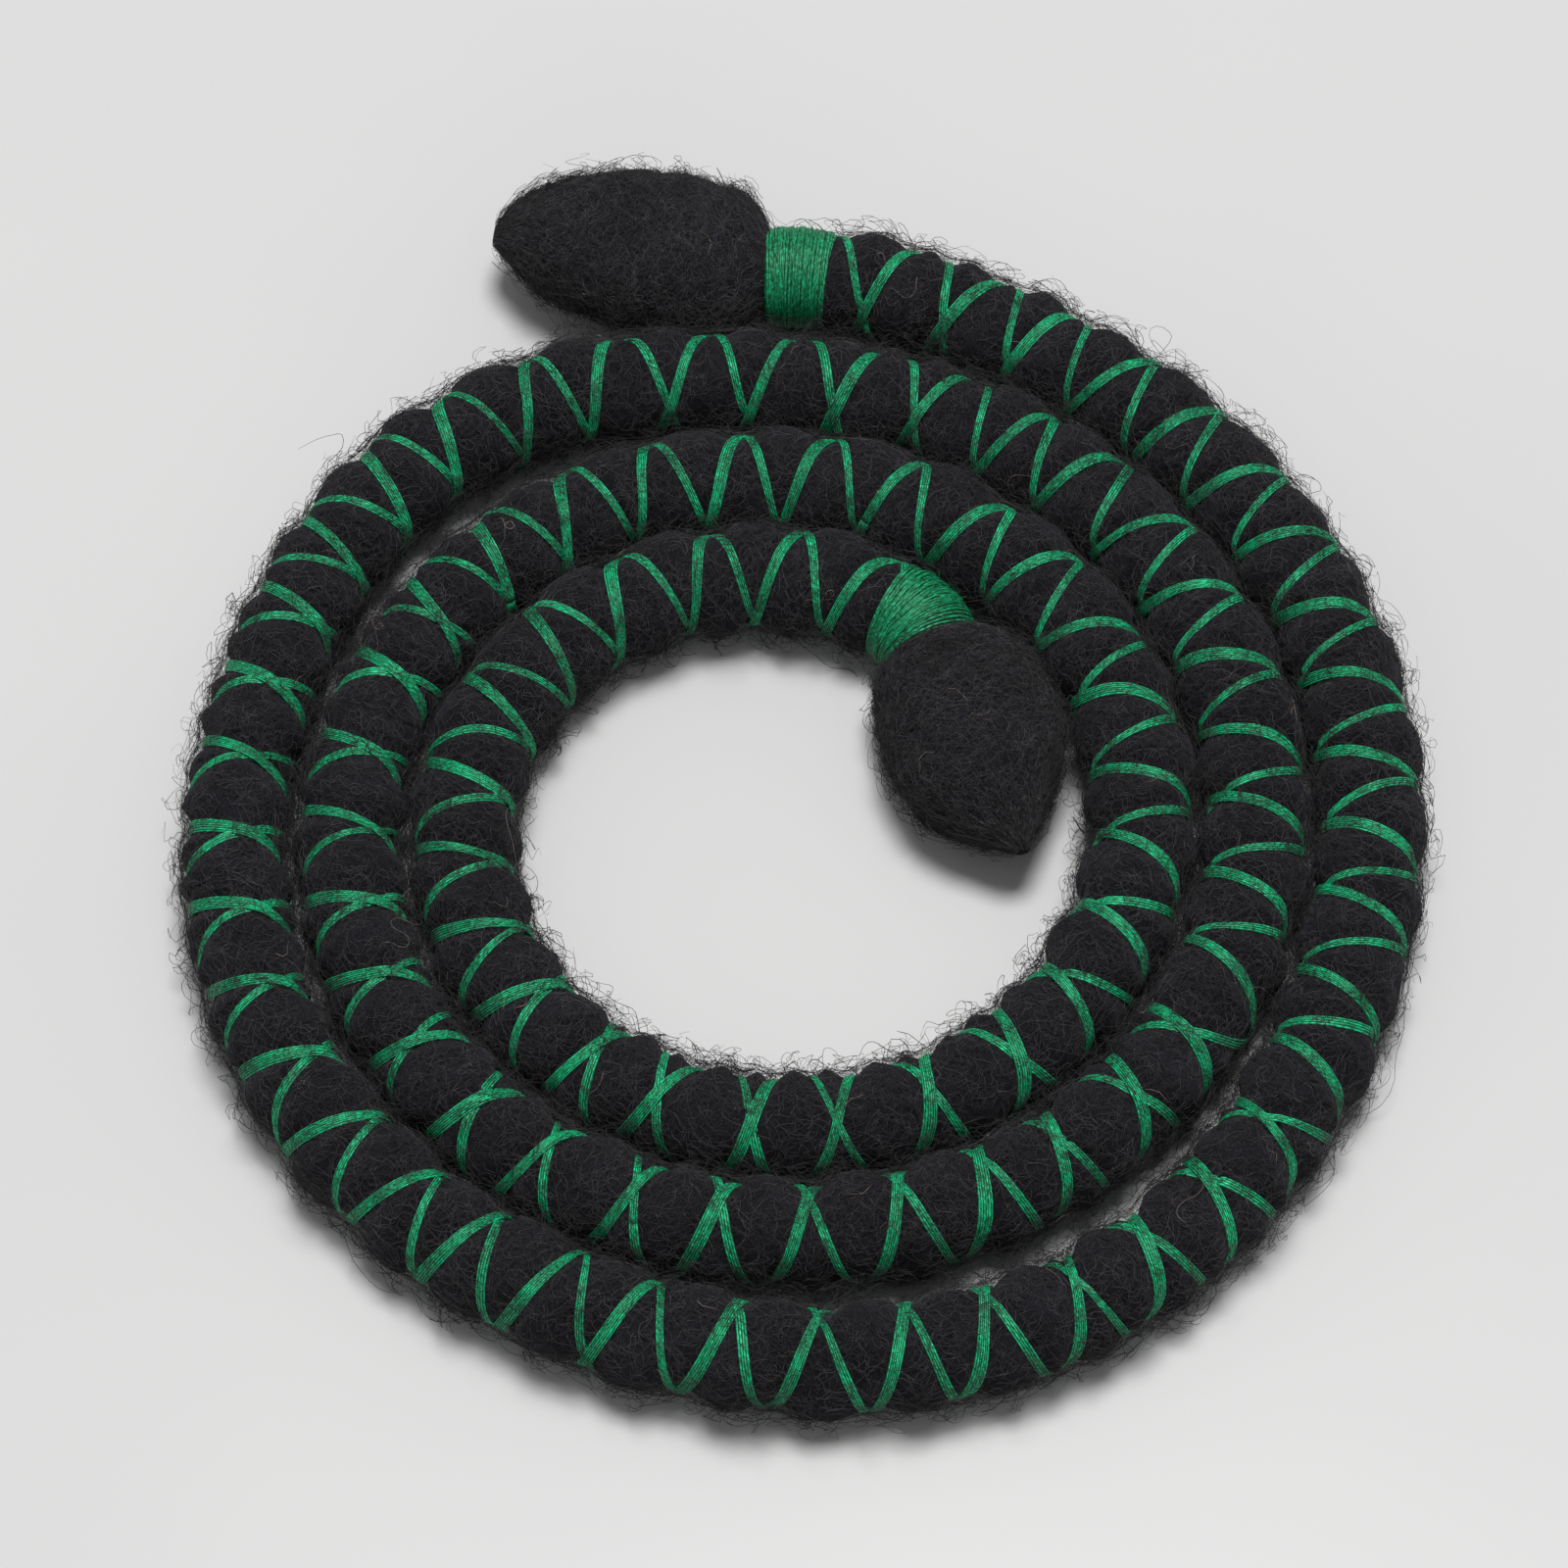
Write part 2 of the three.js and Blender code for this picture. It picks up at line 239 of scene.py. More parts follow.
def wide_angle(s):
    turns = (s - NECK_LENGTH) / PITCH + wave_height(WIDE_WANDER, s)
    return -FLOSS_START_ANGLE - 2 * PI * turns


def thin_angle(s):
    turns = (s - NECK_LENGTH) / PITCH + wave_height(THIN_WANDER, s)
    return 2 * np.interp(s, CROSSING_S, CROSSING_ANGLE) + FLOSS_START_ANGLE + 2 * PI * turns


def distance_from(path, s, angle):
    """How far along the rope points are from the nearest turn of a pass of floss."""
    turns = (angle - path(s)) / (2 * PI)
    return np.abs(turns - np.round(turns)) * PITCH


def band_width(floss, s):
    return floss["width"] * (1 + wave_height(WIDTH_WANDER, s))


# ---------------------------------------------------------------- felt surface

def cinch_depth(floss, path, s, angle):
    """How far a pass of floss pulls the felt in: flat under the band, then a rounded shoulder."""
    away = np.maximum(distance_from(path, s, angle) - 0.58 * floss["width"], 0)
    share = 1 - np.clip(away / floss["reach"], 0, 1)
    return floss["cinch"] * share ** 2.4


def neck_pinch(s):
    """How far the felt is drawn in under a whipping at either end of the rope."""
    inside = np.minimum(s, ROPE_LENGTH - s) - NECK_LENGTH + 0.6 * MM
    share = 1 - np.clip(inside / (2.6 * MM), 0, 1)
    return (SWELL_RADIUS - NECK_RADIUS) * (1 - np.sqrt(1 - share ** 2))


def felt_radius(s, angle):
    wound = (s > NECK_LENGTH - 1 * MM) & (s < ROPE_LENGTH - NECK_LENGTH + 1 * MM)
    wide = cinch_depth(WIDE, wide_angle, s, angle)
    thin = cinch_depth(THIN, thin_angle, s, angle)
    cinch = np.where(wound, np.maximum(wide, thin), 0)
    return SWELL_RADIUS - np.maximum(cinch, neck_pinch(s)) + wave_height(LUMPS, s, angle)


# ---------------------------------------------------------------- mesh making

def tube_quads(rows, columns):
    """Quads of a tube whose points are rows of one section after another."""
    row = np.arange(rows - 1)[:, None] * columns
    column = np.arange(columns)[None, :]
    after = (column + 1) % columns
    quads = np.stack([row + column, row + after, row + columns + after, row + columns + column], -1)
    return quads.reshape(-1, 4)


def tube_caps(rows, columns):
    first = np.arange(columns)[::-1]
    return [first, np.arange(columns) + (rows - 1) * columns]


def new_piece(name, points, quads, caps, materials, uv=None, quad_material=0):
    """A smooth mesh object with flat caps, so that shading runs on from one stretch to the next."""
    mesh = bpy.data.meshes.new(name)
    loops = np.concatenate([quads.ravel(), *caps]).astype(np.int32)
    sizes = np.r_[np.full(len(quads), 4), [len(cap) for cap in caps]].astype(np.int32)
    mesh.vertices.add(len(points))
    mesh.vertices.foreach_set("co", np.ascontiguousarray(points, np.float32).ravel())
    mesh.loops.add(len(loops))
    mesh.polygons.add(len(sizes))
    mesh.polygons.foreach_set("loop_start", np.cumsum(sizes) - sizes)
    mesh.polygons.foreach_set("vertices", loops)
    mesh.update(calc_edges=True)
    mesh.polygons.foreach_set("use_smooth", sizes == 4)
    if uv is not None:
        layer = mesh.uv_layers.new(name="strand")
        layer.data.foreach_set("uv", uv[loops].astype(np.float32).ravel())
    for material in materials:
        mesh.materials.append(material)
    slots = np.zeros(len(sizes), np.int32)
    slots[:len(quads)] = quad_material
    mesh.polygons.foreach_set("material_index", slots)
    piece = bpy.data.objects.new(name, mesh)
    bpy.context.scene.collection.objects.link(piece)
    return piece


# ---------------------------------------------------------------- materials

class Nodes:
    """Short ways to add nodes to one new material."""

    def __init__(self, name):
        self.material = bpy.data.materials.new(name)
        self.material.use_nodes = True
        self.tree = self.material.node_tree
        self.shader = self.tree.nodes["Principled BSDF"]

    def link(self, value, socket):
        self.tree.links.new(value, socket)

    def constants(self, **values):
        for name, value in values.items():
            self.shader.inputs[name.replace("_", " ")].default_value = value

    def place(self, kind="Object"):
        return self.tree.nodes.new("ShaderNodeTexCoord").outputs[kind]

    def stretched(self, vector, scale):
        node = self.tree.nodes.new("ShaderNodeMapping")
        node.inputs["Scale"].default_value = scale
        self.link(vector, node.inputs["Vector"])
        return node.outputs["Vector"]

    def noise(self, vector, scale, detail=4.0, distortion=0.0, roughness=0.55):
        node = self.tree.nodes.new("ShaderNodeTexNoise")
        node.inputs["Scale"].default_value = scale
        node.inputs["Detail"].default_value = detail
        node.inputs["Distortion"].default_value = distortion
        node.inputs["Roughness"].default_value = roughness
        self.link(vector, node.inputs["Vector"])
        return node.outputs["Fac"]

    def ramp(self, value, *stops):
        node = self.tree.nodes.new("ShaderNodeValToRGB")
        elements = node.color_ramp.elements
        while len(elements) < len(stops):
            elements.new(0.5)
        for element, (position, color) in zip(elements, stops):
            element.position = position
            element.color = (*color, 1)
        self.link(value, node.inputs["Fac"])
        return node.outputs["Color"]

    def math(self, operation, a, b=0.0):
        node = self.tree.nodes.new("ShaderNodeMath")
        node.operation = operation
        for value, socket in zip((a, b), node.inputs):
            if isinstance(value, (int, float)):
                socket.default_value = value
            else:
                self.link(value, socket)
        return node.outputs["Value"]

    def mix(self, share, a, b, blend="MIX"):
        node = self.tree.nodes.new("ShaderNodeMix")
        node.data_type = "RGBA"
        node.blend_type = blend
        for value, socket in ((share, node.inputs[0]), (a, node.inputs[6]), (b, node.inputs[7])):
            if isinstance(value, float):
                socket.default_value = value
            elif isinstance(value, tuple):
                socket.default_value = (*value, 1)
            else:
                self.link(value, socket)
        return node.outputs[2]

    def bump(self, height, strength, distance, under=None):
        node = self.tree.nodes.new("ShaderNodeBump")
        node.inputs["Strength"].default_value = strength
        node.inputs["Distance"].default_value = distance
        self.link(height, node.inputs["Height"])
        if under is not None:
            self.link(under, node.inputs["Normal"])
        return node.outputs["Normal"]


def felt_material():
    """Matted black wool: swirling fine fibres, soft patches of tone and a few pale specks."""
    n = Nodes("black_felt")
    place = n.place()
    fibres = n.noise(place, 1500, 5, 3.5, 0.65)
    swirls = n.noise(n.stretched(place, (1, 1, 2.4)), 620, 4, 2.2, 0.6)
    patches = n.noise(place, 120, 3)
    base = n.ramp(fibres, (0.38, (0.0022, 0.0020, 0.0024)), (0.66, (0.0165, 0.0155, 0.0190)))
    tone = n.ramp(patches, (0.35, (0.75, 0.74, 0.78)), (0.7, (1.25, 1.22, 1.30)))
    color = n.mix(1.0, base, tone, "MULTIPLY")
    specks = n.ramp(n.noise(place, 2300, 2), (0.735, (0, 0, 0)), (0.765, (1, 1, 1)))
    n.link(n.mix(specks, color, (0.075, 0.062, 0.060)), n.shader.inputs["Base Color"])
    coarse = n.bump(swirls, 0.55, 0.35 * MM)
    n.link(n.bump(fibres, 0.75, 0.16 * MM, coarse), n.shader.inputs["Normal"])
    n.constants(Roughness=0.95, Sheen_Weight=0.13, Sheen_Roughness=0.45)
    n.constants(Sheen_Tint=(0.30, 0.29, 0.34, 1), Specular_IOR_Level=0.12)
    return n.material


def floss_material(name, light, dark):
    """Stranded cotton: plies twisted in each strand, painted shade in the grooves of the twist and in the creases
    between strands, lengthwise fibre streaks whose brightest ones are painted highlights, and a soft sheen.

    The strand map runs along the floss in millimetres, and across it by one for each strand.
    """
    n = Nodes(name)
    uv = n.tree.nodes.new("ShaderNodeUVMap")
    uv.uv_map = "strand"
    parts = n.tree.nodes.new("ShaderNodeSeparateXYZ")
    n.link(uv.outputs["UV"], parts.inputs["Vector"])
    along, across = parts.outputs["X"], parts.outputs["Y"]
    place = n.place()
    lane = n.math("FRACT", across)
    edge = n.math("ABSOLUTE", n.math("SUBTRACT", n.math("MULTIPLY", lane, 2.0), 1.0))
    wobble = n.noise(place, 700, 3)
    offset = n.math("MULTIPLY", n.math("FLOOR", across), 2.3)
    slant = n.math("ADD", n.math("MULTIPLY", lane, 4.6), offset)
    twist_phase = n.math("ADD", n.math("MULTIPLY", along, 7.5), slant)
    turned = n.math("SINE", n.math("ADD", twist_phase, n.math("MULTIPLY", wobble, 7.0)))
    twist = n.math("ADD", n.math("MULTIPLY", turned, 0.5), 0.5)
    fibres = n.noise(place, 2600, 4, 1.2, 0.6)
    # painted shade: each strand is darkened towards its edges, in the creases where it meets the next strand
    painted_crease_shade = n.ramp(edge, (0.35, (1, 1, 1)), (0.90, (0.05, 0.10, 0.07)))
    # painted shade: the plies are darkened in the grooves of their twist, where the bump below sinks
    painted_ply_shade = n.ramp(twist, (0.0, (0.70, 0.74, 0.72)), (0.5, (1.10, 1.08, 1.08)))
    # lengthwise streaks of fibre along the strands, their brightest ones painted highlights
    lengthwise = n.noise(n.stretched(uv.outputs["UV"], (0.9, 3.4, 1)), 1.0, 3)
    streaks_and_highlights = n.ramp(lengthwise, (0.38, (0.30, 0.36, 0.33)), (0.62, (1.60, 1.50, 1.55)))
    body = n.mix(n.ramp(fibres, (0.38, (0, 0, 0)), (0.62, (1, 1, 1))), dark, light)
    patches = n.ramp(n.noise(place, 160, 3), (0.32, (0.82, 0.84, 0.83)), (0.68, (1.10, 1.08, 1.08)))
    color = body
    for layer in (painted_crease_shade, painted_ply_shade, streaks_and_highlights, patches):
        color = n.mix(1.0, color, layer, "MULTIPLY")
    n.link(color, n.shader.inputs["Base Color"])
    plies = n.bump(twist, 0.5, 0.05 * MM)
    n.link(n.bump(fibres, 0.45, 0.06 * MM, plies), n.shader.inputs["Normal"])
    n.constants(Roughness=0.52, Sheen_Weight=0.12, Sheen_Roughness=0.4)
    n.constants(Sheen_Tint=(0.10, 0.85, 0.40, 1), Specular_IOR_Level=0.30)
    return n.material


def plain_material(name, color, roughness, sheen=0.0, metallic=0.0):
    """One even finish, for fibres far too thin to show any pattern."""
    n = Nodes(name)
    n.constants(Base_Color=(*color, 1), Roughness=roughness, Sheen_Weight=sheen, Metallic=metallic)
    return n.material


def wire_material():
    """Annealed steel wire, faintly drawn along its length and dulled in patches."""
    n = Nodes("soft_wire")
    place = n.place()
    scratches = n.noise(place, 1800, 4)
    dull = n.noise(place, 300, 3)
    n.link(n.ramp(dull, (0.3, (0.42, 0.42, 0.44)), (0.7, (0.66, 0.67, 0.69))), n.shader.inputs["Base Color"])
    n.link(n.ramp(scratches, (0.3, (0.28, 0.28, 0.28)), (0.7, (0.5, 0.5, 0.5))), n.shader.inputs["Roughness"])
    n.constants(Metallic=1.0)
    return n.material


FELT = felt_material()
FLOSS = floss_material("green_floss", (0.010, 0.640, 0.280), (0.003, 0.300, 0.120))
WHIPPING_FLOSS = floss_material("whipping_floss", (0.006, 0.300, 0.122), (0.002, 0.100, 0.038))
FUZZ = plain_material("wool_fibre", (0.062, 0.059, 0.066), 0.75)
DARK_FUZZ = plain_material("dark_wool_fibre", (0.010, 0.009, 0.010), 0.8)
PALE_FUZZ = plain_material("pale_fibre", (0.30, 0.24, 0.20), 0.7)
WIRE = wire_material()


# ---------------------------------------------------------------- rope felt

def make_felt(index, start, end):
    rows = round((end - start) / ROW_STEP) + 1
    s = np.linspace(start, end, rows)[:, None]
    angle = np.linspace(0, 2 * PI, COLUMNS, endpoint=False)[None, ::-1]
    s, angle = np.broadcast_arrays(s, angle)
    near_floss = np.minimum(distance_from(wide_angle, s, angle), distance_from(thin_angle, s, angle))
    calm = np.clip(near_floss / (1.8 * MM), 0.15, 1)
    radius = felt_radius(s, angle) + wave_height(MATTING, s, angle) * calm
    points = on_rope(s, angle, radius).reshape(-1, 3)
    name = f"felt_{index:02d}"
    piece = new_piece(name, points, tube_quads(rows, COLUMNS), tube_caps(rows, COLUMNS), [FELT])
    return piece


# ---------------------------------------------------------------- rope floss

def band_profile(strands):
    """Across and height of a flat band of strands, from -1 to 1, and its place across by strand."""
    across, height, lane = [], [], []
    for i in range(strands * POINTS_PER_STRAND + 1):
        position = i / POINTS_PER_STRAND
        in_strand = 2 * (position % 1) - 1
        crown = math.sqrt(max(0, 1 - in_strand ** 2))
        middle = 2 * position / strands - 1
        across.append(middle)
        height.append(0.55 * math.sqrt(max(0.05, 1 - 0.85 * middle ** 2)) + 0.45 * crown)
        # one lane for each strand, so the floss material's painted crease shade falls at every strand's edges
        lane.append(position)
    for middle in (0.9, -0.9):
        across.append(middle)
        height.append(-0.9)
        lane.append(0.5)
    return np.array(across), np.array(height), np.array(lane)


def band_points(floss, path, s, lift):
    """A band's points and strand map along one pass: rows of one section after another."""
    across, height, lane = band_profile(floss["strands"])
    step = 0.05 * MM
    angle = path(s)
    slope = (path(s + step) - path(s - step)) / (2 * step)
    radius = felt_radius(s, angle) - BAND_SINK + lift
    length = np.sqrt(1 + (radius * slope) ** 2)
    wobble = 1 + 0.10 * np.sin(s[:, None] / (1.7 * MM) + lane * 2.1) * (1 - across ** 2)
    sideways = across * band_width(floss, s)[:, None] / 2 * wobble
    along = s[:, None] - sideways * (radius * slope / length)[:, None]
    around = angle[:, None] + sideways / (length * radius)[:, None]
    out = radius[:, None] + floss["height"] * height
    points = on_rope(along, around, out)
    run = np.r_[0, np.cumsum(np.linalg.norm(np.diff(points[:, 0], axis=0), axis=1))] / MM
    uv = np.stack(np.broadcast_arrays(run[:, None], lane[None, :]), -1)
    return points.reshape(-1, 3), uv.reshape(-1, 2)


def crossing_lift(s):
    """How far the wide pass rises to lie over the thin one where they cross."""
    away = distance_from(thin_angle, s, wide_angle(s))
    near = 1 - np.clip(away / (2.0 * MM), 0, 1)
    return THIN["height"] * 0.95 * near ** 2 * (3 - 2 * near)


def make_band(name, floss, path, start, end, lifted):
    turns = (end - start) / PITCH
    rows = max(2, round(turns * FLOSS_STEPS_PER_TURN))
    s = np.linspace(start, end, rows)
    lift = crossing_lift(s) if lifted else np.zeros(rows)
    points, uv = band_points(floss, path, s, lift)
    columns = len(points) // rows
    quads = tube_quads(rows, columns)
    caps = tube_caps(rows, columns)
    rising = (path(s[1]) > path(s[0]))
    if rising:
        quads, caps = quads[:, ::-1], [cap[::-1] for cap in caps]
    piece = new_piece(name, points, quads, caps, [FLOSS], uv)
    return piece


# ---------------------------------------------------------------- fibres

FIBRE_SIDES = 3


def fibre_tubes(paths, radius):
    """Thin closed tubes along many paths at once, tapered to their tips."""
    count, steps, _ = paths.shape
    tangent = np.gradient(paths, axis=1)
    tangent /= np.linalg.norm(tangent, axis=2, keepdims=True) + 1e-12
    helper = np.where(np.abs(tangent[..., 2:3]) > 0.8, (1.0, 0.0, 0.0), (0.0, 0.0, 1.0))
    side = np.cross(tangent, helper)
    side /= np.linalg.norm(side, axis=2, keepdims=True)
    other = np.cross(tangent, side)
    taper = 1 - 0.65 * np.linspace(0, 1, steps) ** 2
    turn = 2 * PI * np.arange(FIBRE_SIDES) / FIBRE_SIDES
    ring = side[:, :, None] * np.cos(turn)[:, None] + other[:, :, None] * np.sin(turn)[:, None]
    points = paths[:, :, None] + ring * (radius[:, None] * taper)[:, :, None, None]
    first = (np.arange(count) * steps * FIBRE_SIDES)[:, None, None]
    quads = (tube_quads(steps, FIBRE_SIDES)[None] + first).reshape(-1, 4)
    ends = np.array(tube_caps(steps, FIBRE_SIDES))
    caps = (ends[None] + first).reshape(-1, FIBRE_SIDES)
    return points.reshape(-1, 3), quads, list(caps)


def curly_steps(draw, count, kind):
    """Curly paths on a flat sheet, as steps along and round the rope, each starting at zero."""
    t = np.linspace(0, 1, kind["steps"])
    around = PI / 2 * draw.choice((-1, 1), (count, 1))
    heading = around + draw.normal(0, kind["spread"], (count, 1))
    bend = draw.normal(0, kind["curl"], (count, 1)) * t
    swing = kind["wave"] * draw.uniform(0.4, 1.6, (count, 1))
    wave = swing * np.sin(draw.uniform(4, 11, (count, 1)) * t + draw.uniform(0, 2 * PI, (count, 1)))
    angle = heading + bend + wave
    step = draw.uniform(*kind["length"], (count, 1)) * MM / (kind["steps"] - 1)
    x = np.cumsum(np.cos(angle) * step, axis=1)
    y = np.cumsum(np.sin(angle) * step, axis=1)
    return x - x[:, :1], y - y[:, :1], t


def fibre_height(draw, count, t, kind):
    """Height of fibres above the felt: loops that come back down, or free ends that stand up."""
    top = kind["highest"] * MM * draw.uniform(0.2, 1, (count, 1)) ** 2
    loop = np.sin(PI * t) ** 0.8
    free = t ** 0.8
    return top * np.where(draw.random((count, 1)) < kind["looped"], loop, free) + 0.02 * MM


def make_fibres(name, seed, kinds, counts, place):
    """One piece of many fibres. place turns random numbers and steps into points on a surface."""
    draw = np.random.default_rng(seed)
    points, quads, caps, slots, total = [], [], [], [], 0
    for kind, count in zip(kinds, counts):
        x, y, t = curly_steps(draw, count, kind)
        height = fibre_height(draw, count, t, kind)
        paths = place(draw.random((count, 1)), draw.random((count, 1)), x, y, height)
        radius = kind.get("thick", 1) * draw.uniform(*FIBRE_RADII, count)
        tube_points, tube_faces, tube_ends = fibre_tubes(paths, radius)
        points.append(tube_points)
        quads.append(tube_faces + total)
        caps += [cap + total for cap in tube_ends]
        slots.append(np.full(len(tube_faces), kind.get("material", 0)))
        total += len(tube_points)
    points = np.concatenate(points)
    points[:, 2] = np.maximum(points[:, 2], TABLE_GAP)
    finishes = [FUZZ, DARK_FUZZ, PALE_FUZZ]
    piece = new_piece(name, points, np.concatenate(quads), caps, finishes, None, np.concatenate(slots))
    return piece


# Kinds of fibre, in millimetres: matted ones that lie on the felt, a halo of curls and loops,
# strays that stand well off, and a few pale ones
FIBRE_RADII = (0.016 * MM, 0.027 * MM)
MATTED = {"length": (1.8, 5.5), "highest": 0.30, "looped": 0.8, "curl": 1.3, "wave": 0.7, "spread": 0.6, "steps": 6}
HALO = {"length": (3, 9), "highest": 2.4, "looped": 0.7, "curl": 4.2, "wave": 1.5, "spread": 3.0, "steps": 10}
STRAY = {"length": (9, 24), "highest": 4.5, "looped": 0.4, "curl": 4.0, "wave": 1.2, "spread": 3.0, "steps": 18}
NAP = {"length": (0.8, 2.4), "highest": 1.25, "looped": 0.1, "curl": 0.8, "wave": 0.6, "spread": 3.0, "steps": 4}
for kind in (HALO, STRAY, NAP):
    kind.update(material=1, thick=1.6)
DARK_MATTED = {**MATTED, "material": 1, "thick": 1.3, "highest": 0.45}
PALE = {**MATTED, "material": 2, "highest": 0.5, "length": (2, 5)}
PALE_STRAY = {**STRAY, "material": 2, "thick": 1, "length": (5, 12), "highest": 2.0}
ROPE_KINDS = [MATTED, DARK_MATTED, HALO, STRAY, PALE, PALE_STRAY]
ROPE_FIBRES_PER_MM = [24, 11, 19, 0.18, 0.07, 0.02]
BUD_KINDS = [MATTED, NAP, HALO, STRAY, PALE]
BUD_FIBRES = [2400, 3600, 700, 12, 7]


def make_fuzz(index, start, end):
    def place(along, around, x, y, height):
        s = start + (end - start) * along + x
        angle = PI * (-0.30 + 1.60 * around) + y / SWELL_RADIUS
        surface = 0.45 * felt_radius(s, angle) + 0.55 * SWELL_RADIUS
        return on_rope(s, angle, surface + height)

    counts = [max(1, round(per_mm * (end - start) / MM)) for per_mm in ROPE_FIBRES_PER_MM]
    return make_fibres(f"fuzz_{index:02d}", 100 + index, ROPE_KINDS, counts, place)


# ---------------------------------------------------------------- whippings

WHIPPING_CORE_RADIUS = 5.15 * MM
THREAD_RADIUS = 0.20 * MM
THREAD_SPACING = 0.34 * MM
THREAD_SIDES = 8
CROSSING_THREADS, LOOSE_HAIRS = 26, 40


def whipping_radius(s, start, end):
    """A whipping is a little fuller in the middle of its length."""
    share = (s - start) / (end - start)
    return WHIPPING_CORE_RADIUS + 0.42 * MM * np.sin(PI * np.clip(share, 0, 1)) ** 0.8


def thread_tube(s, angle, radius, thickness):
    """One thread along a path on the rope: its points, strand map and faces."""
    path = on_rope(s, angle, radius)
    tangent = np.gradient(path, axis=0)
    tangent /= np.linalg.norm(tangent, axis=1)[:, None]
    centre = on_rope(s, angle, radius * 0)
    out = path - centre
    out -= (out * tangent).sum(1)[:, None] * tangent
    out /= np.linalg.norm(out, axis=1)[:, None]
    side = np.cross(tangent, out)
    turn = 2 * PI * np.arange(THREAD_SIDES) / THREAD_SIDES
    ring = out[:, None] * np.sin(turn)[:, None] * 0.8 + side[:, None] * np.cos(turn)[:, None]
    points = path[:, None] + ring * thickness
    run = np.r_[0, np.cumsum(np.linalg.norm(np.diff(path, axis=0), axis=1))] / MM
    # the lane nears 0 and 1 at the thread's sides, so the floss material paints shade where neighbouring threads
    # meet
    lane = 0.5 - 0.45 * np.cos(turn)
    uv = np.stack(np.broadcast_arrays(run[:, None], lane[None, :]), -1)
    rows = len(s)
    return points.reshape(-1, 3), uv.reshape(-1, 2), tube_quads(rows, THREAD_SIDES), tube_caps(rows, THREAD_SIDES)


def core_tube(start, end):
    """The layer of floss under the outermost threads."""
    rows, columns = 25, 48
    s = np.linspace(start, end, rows)[:, None]
    angle = np.linspace(0, 2 * PI, columns, endpoint=False)[None, ::-1]
    s, angle = np.broadcast_arrays(s, angle)
    points = on_rope(s, angle, whipping_radius(s, start, end))
    # across runs one for each thread spacing, so lines of painted shade fall between the thread widths on the core
    uv = np.stack([angle * WHIPPING_CORE_RADIUS / MM, s / THREAD_SPACING], -1)
    return points.reshape(-1, 3), uv.reshape(-1, 2), tube_quads(rows, columns), tube_caps(rows, columns)


def make_whipping(name, start, end, body, seed):
    draw = np.random.default_rng(seed)
    parts = [core_tube(start, end)]
    turns = (end - start - 2 * THREAD_RADIUS) / THREAD_SPACING
    u = np.linspace(0, turns, round(turns * 44))
    drift = np.interp(u, np.arange(math.ceil(turns) + 2), draw.normal(0, 0.34, math.ceil(turns) + 2))
    s = start + THREAD_RADIUS + (np.clip(u + drift, 0, turns)) * THREAD_SPACING
    out = 0.06 * MM * np.sin(u * 1.7) + 0.06 * MM * np.sin(u * 5.3)
    parts.append(thread_tube(s, 2 * PI * u, whipping_radius(s, start, end) + out, THREAD_RADIUS))
    for i in range(CROSSING_THREADS + LOOSE_HAIRS):
        loose = i >= CROSSING_THREADS
        t = np.linspace(0, 1, 60)
        from_s, to_s = draw.uniform(start + 0.4 * MM, end - 0.4 * MM, 2)
        to_s = from_s + np.clip(to_s - from_s, -2.2 * MM, 2.2 * MM)
        from_angle = draw.uniform(0, 2 * PI)
        reach = draw.uniform(0.9, 1.7) * PI
        s = from_s + (to_s - from_s) * (t * t * (3 - 2 * t))
        highest = draw.uniform(0.3, 1.3) * MM if loose else 0.24 * MM
        radius = whipping_radius(s, start, end) + highest * np.sin(PI * t) ** 0.5 - 0.12 * MM
        thickness = 0.03 * MM if loose else THREAD_RADIUS * draw.uniform(0.45, 0.8)
        angles = from_angle + reach * t * (0.35 if loose else 1)
        parts.append(thread_tube(s, angles, radius, thickness))
    points, uvs, quads, caps, total = [], [], [], [], 0
    for part_points, part_uv, part_quads, part_caps in parts:
        points.append(part_points)
        uvs.append(part_uv)
        quads.append(part_quads + total)
        caps += [cap + total for cap in part_caps]
        total += len(part_points)
    faces, maps = np.concatenate(quads), np.concatenate(uvs)
    piece = new_piece(name, np.concatenate(points), faces, caps, [WHIPPING_FLOSS], maps)
    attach(piece, body)
    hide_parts(name)
    return piece


# ---------------------------------------------------------------- buds

# Distance along each bud from its neck, and half its width there on its left and its right as it
# points away from the rope
OUTER_BUD_OUTLINE = [
    (-3.0, 3.9, 3.9), (-0.6, 4.3, 4.3), (-0.3, 5.2, 5.4), (0.4, 6.2, 6.5), (1.2, 7.2, 7.6),
    (2.6, 8.0, 8.9), (5.0, 8.7, 10.0), (8.0, 9.0, 10.6), (11.0, 8.9, 10.8), (14.5, 8.4, 10.6),
    (18.0, 7.6, 9.9), (21.2, 6.8, 8.9), (24.0, 5.8, 7.7), (26.5, 4.2, 6.3), (28.5, 2.5, 4.6),
    (29.8, 1.3, 2.5), (30.5, 0.6, 0.8),
]
INNER_BUD_OUTLINE = [
    (-3.0, 3.9, 3.9), (-0.6, 4.3, 4.3), (-0.3, 5.3, 5.2), (0.4, 6.6, 6.4), (1.2, 7.8, 7.4),
    (2.6, 9.0, 8.1), (5.0, 10.0, 8.7), (8.0, 10.4, 9.2), (11.0, 10.3, 9.5), (14.5, 9.5, 9.5),
    (18.0, 7.9, 8.8), (20.5, 6.0, 7.4), (22.5, 4.2, 5.6), (24.0, 2.9, 3.9), (25.5, 1.6, 2.1),
    (26.5, 0.8, 0.9), (27.0, 0.4, 0.5),
]
BUD_LUMPS = make_waves(6, 30, 5 * MM, 22 * MM, 0.22 * MM, 4)
BUD_FLATNESS = 0.77


